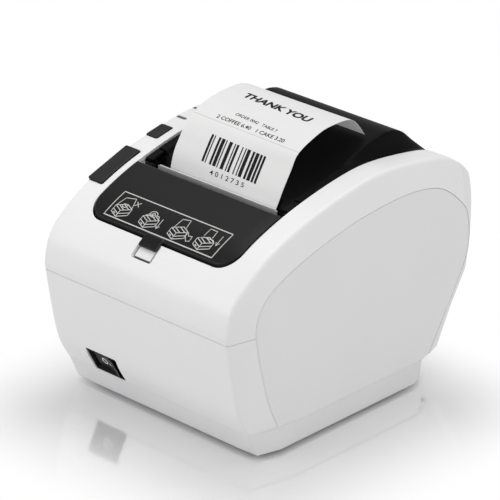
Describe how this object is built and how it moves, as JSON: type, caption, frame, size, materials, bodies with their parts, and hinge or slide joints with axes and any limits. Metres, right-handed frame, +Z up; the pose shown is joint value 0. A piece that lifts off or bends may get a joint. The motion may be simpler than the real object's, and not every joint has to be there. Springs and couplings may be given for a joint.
{
  "type": "receipt printer",
  "caption": "Desktop thermal receipt printer with a moulded case, hinged paper cover over a roll bin, platen and auto-cutter drive, buttons, power rocker and sockets at the back.",
  "frame": {"origin": "middle of the footprint box, at the underside of the rubber feet", "axes": "+X to the user's right when they face the front, +Y from the front with the buttons to the back with the sockets, +Z up"},
  "size_m": [0.146, 0.194, 0.1514],
  "materials": {
    "white_case": "satin",
    "white_panel": "satin",
    "black_cover": "satin",
    "black_button": "satin",
    "black_part": "moulded",
    "smoked_lens": "smoked, glossy",
    "foot_rubber": "matte",
    "roller_rubber": "ground",
    "ceramic": "glazed",
    "zinc_steel": "zinc plated",
    "bright_steel": "ground",
    "spring_steel": "drawn wire",
    "aluminium": "milled",
    "bronze": "sintered",
    "brass": "turned",
    "gear_nylon": "moulded",
    "wheel_nylon": "moulded",
    "motor_steel": "satin",
    "paper": "matte",
    "core_card": "wound",
    "circuit_board": "solder mask",
    "board_part": "moulded",
    "port_metal": "tin plated"
  },
  "bodies": {
    "chassis": {"base_tray": "white_case", "rubber_feet": "foot_rubber", "lower_case": "white_case", "upper_case": "white_case", "side_panel_left": "white_panel", "side_panel_right": "white_panel", "cover_hinge_pin": "bright_steel", "hinge_springs": "spring_steel", "mechanism_frame": "zinc_steel", "feed_motor": "motor_steel", "head_springs": "spring_steel", "cutter_frame": "zinc_steel", "cutter_motor": "motor_steel", "tear_bar": "bright_steel", "open_button_spring": "spring_steel", "indicator_lenses": "smoked_lens", "button_board": "circuit_board", "switch_bezel": "black_part", "switch_body": "black_part", "paper_bin": "black_part", "paper_web": "paper", "main_board": "circuit_board", "board_parts": "board_part", "rear_panel": "black_part", "power_inlet": "black_part", "usb_port": "port_metal", "network_port": "port_metal", "drawer_port": "black_part", "case_screws": "zinc_steel"},
    "paper_cover": {"paper_cover": "black_cover", "platen_bracket": "zinc_steel", "platen_bushes": "bronze", "fixed_blade": "bright_steel", "receipt": "paper"},
    "front_cover": {"front_cover": "black_cover"},
    "platen": {"platen_shaft": "bright_steel", "platen_roller": "roller_rubber", "platen_gear": "gear_nylon"},
    "idler": {"idler_gear": "gear_nylon"},
    "motor_pinion": {"motor_pinion": "brass"},
    "paper_roll": {"paper_roll": "paper", "roll_core": "core_card"},
    "moving_blade": {"moving_blade": "bright_steel"},
    "cutter_pinion": {"cutter_pinion": "gear_nylon", "cutter_thumb_wheel": "wheel_nylon"},
    "cutter_motor_gear": {"cutter_motor_gear": "brass"},
    "print_head": {"print_head": "ceramic", "heat_sink": "aluminium"},
    "open_button": {"open_button": "black_button"},
    "latch": {"latch_lever": "zinc_steel"},
    "feed_button": {"feed_button": "black_button"},
    "power_rocker": {"power_rocker": "black_part"}
  },
  "joints": [
    {"name": "paper_cover_hinge", "type": "hinge", "parent": "chassis", "child": "paper_cover", "pos_m": [0, 0.083, 0.106], "axis": [-1, 0, 0], "range_deg": [0, 85]},
    {"name": "front_cover_hinge", "type": "hinge", "parent": "chassis", "child": "front_cover", "pos_m": [0, -0.0395, 0.1166], "axis": [-1, 0, 0], "range_deg": [0, 65]},
    {"name": "platen_spin", "type": "hinge", "parent": "paper_cover", "child": "platen", "pos_m": [0, -0.0252, 0.104], "axis": [1, 0, 0], "continuous": true},
    {"name": "idler_spin", "type": "hinge", "parent": "chassis", "child": "idler", "pos_m": [-0.046, -0.02942, 0.08826], "axis": [1, 0, 0], "continuous": true},
    {"name": "motor_pinion_spin", "type": "hinge", "parent": "chassis", "child": "motor_pinion", "pos_m": [-0.046, -0.03487, 0.07882], "axis": [1, 0, 0], "continuous": true},
    {"name": "paper_roll_spin", "type": "hinge", "parent": "chassis", "child": "paper_roll", "pos_m": [0, 0.036, 0.0801], "axis": [1, 0, 0], "continuous": true},
    {"name": "blade_slide", "type": "slide", "parent": "chassis", "child": "moving_blade", "axis": [0, 1, 0], "range_m": [0, 0.012]},
    {"name": "cutter_pinion_spin", "type": "hinge", "parent": "chassis", "child": "cutter_pinion", "pos_m": [-0.036, -0.0435, 0.1052], "axis": [1, 0, 0], "range_deg": [-116, 0]},
    {"name": "cutter_motor_gear_spin", "type": "hinge", "parent": "chassis", "child": "cutter_motor_gear", "pos_m": [-0.036, -0.05057, 0.09947], "axis": [1, 0, 0], "range_deg": [0, 232]},
    {"name": "print_head_pivot", "type": "hinge", "parent": "chassis", "child": "print_head", "pos_m": [0, -0.0342, 0.0986], "axis": [1, 0, 0], "range_deg": [0, 3], "stiffness_Nm_per_rad": 1.5, "springref_deg": -2.86},
    {"name": "open_button_press", "type": "slide", "parent": "chassis", "child": "open_button", "axis": [0, 0.3326, -0.9431], "range_m": [0, 0.003], "stiffness_N_per_m": 600, "springref_m": -0.001},
    {"name": "latch_pivot", "type": "hinge", "parent": "chassis", "child": "latch", "pos_m": [-0.05, -0.0415, 0.09], "axis": [1, 0, 0], "range_deg": [0, 11.6]},
    {"name": "feed_button_press", "type": "slide", "parent": "chassis", "child": "feed_button", "axis": [0, 0.2049, -0.9788], "range_m": [0, 0.0008], "stiffness_N_per_m": 500, "springref_m": -0.0005},
    {"name": "power_rocker_tilt", "type": "hinge", "parent": "chassis", "child": "power_rocker", "pos_m": [-0.035, -0.07883, 0.02558], "axis": [0, -0.4749, 0.88], "range_deg": [0, 14]}
  ],
  "couplings": [
    {"joint": "idler_spin", "follows": "platen_spin", "ratio": -1.25},
    {"joint": "motor_pinion_spin", "follows": "platen_spin", "ratio": 2.5},
    {"joint": "cutter_pinion_spin", "follows": "blade_slide", "rad_per_m": -166.67},
    {"joint": "cutter_motor_gear_spin", "follows": "blade_slide", "rad_per_m": 333.33},
    {"joint": "latch_pivot", "follows": "open_button_press", "rad_per_m": 66.667}
  ]
}
